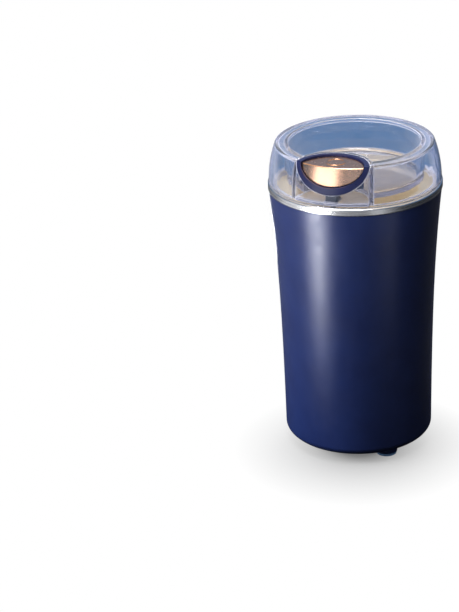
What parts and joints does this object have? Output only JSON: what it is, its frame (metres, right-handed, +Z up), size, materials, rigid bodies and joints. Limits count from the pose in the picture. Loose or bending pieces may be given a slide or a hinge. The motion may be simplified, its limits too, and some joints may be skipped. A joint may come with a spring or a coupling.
{
  "type": "blade coffee grinder",
  "caption": "Upright blade coffee grinder: flared round navy housing, bright trim ring, clear dished lid with a copper press button, steel bowl, blade and motor inside.",
  "frame": {"origin": "on the surface that the feet stand on, under the shaft's axis", "axes": "+Z up along the shaft, the button faces -Y"},
  "size_m": [0.1, 0.1, 0.1856],
  "materials": {
    "navy_plastic": "satin moulded",
    "chrome_trim": "bright plated",
    "clear_plastic": "clear polished, faint blue tint",
    "copper_finish": "copper metallised",
    "grey_plastic": "moulded",
    "bowl_steel": "drawn and polished",
    "blade_steel": "stamped and ground",
    "bright_steel": "turned and zinc plated",
    "black_plastic": "moulded",
    "grey_rubber": "soft moulded",
    "black_rubber": "soft moulded",
    "core_iron": "stacked sheet",
    "copper_wire": "enamelled copper",
    "bracket_alloy": "die cast",
    "bearing_bronze": "sintered and stamped",
    "carbon": "pressed carbon"
  },
  "bodies": {
    "base": {"housing_shell": "navy_plastic", "trim_ring": "chrome_trim", "grinding_bowl": "bowl_steel", "inner_frame": "black_plastic", "push_switch": "black_plastic", "shaft_seal": "black_rubber", "field_core": "core_iron", "field_coils": "copper_wire", "upper_bracket": "bracket_alloy", "lower_bracket": "bracket_alloy", "upper_bearing": "bearing_bronze", "lower_bearing": "bearing_bronze", "motor_bolts": "bright_steel", "motor_nuts": "bright_steel", "mount_screws": "bright_steel", "motor_dampers": "black_rubber", "carbon_brushes": "carbon", "brush_holders": "bearing_bronze", "base_plate": "navy_plastic", "base_screws": "bright_steel", "rubber_feet": "grey_rubber", "cord_gland": "black_rubber"},
    "lid": {"lid_shell": "clear_plastic", "button_bezel": "navy_plastic", "pocket_cover": "clear_plastic"},
    "button": {"button_cap": "copper_finish", "button_carrier": "navy_plastic", "button_stem": "grey_plastic", "button_spring": "bright_steel"},
    "switch": {"switch_rod": "black_plastic", "switch_plunger": "black_plastic"},
    "rotor": {"motor_shaft": "bright_steel", "armature_core": "core_iron", "armature_winding": "copper_wire", "commutator": "copper_wire", "cooling_fan": "black_plastic", "blade": "blade_steel", "blade_spacer": "bright_steel", "blade_nut": "bright_steel"}
  },
  "joints": [
    {"name": "lid_lift", "type": "slide", "parent": "base", "child": "lid", "axis": [0, 0, 1], "range_m": [0, 0.06]},
    {"name": "button_press", "type": "slide", "parent": "lid", "child": "button", "axis": [0, 0, -1], "range_m": [0, 0.003], "stiffness_N_per_m": 300, "springref_m": -0.003, "deforming": ["button_spring"]},
    {"name": "switch_press", "type": "slide", "parent": "base", "child": "switch", "axis": [0, 0, -1], "range_m": [0, 0.003]},
    {"name": "blade_spin", "type": "hinge", "parent": "base", "child": "rotor", "pos_m": [0, 0, 0.121], "axis": [0, 0, 1], "continuous": true}
  ],
  "couplings": [
    {"joint": "switch_press", "follows": "button_press", "ratio": 1}
  ]
}
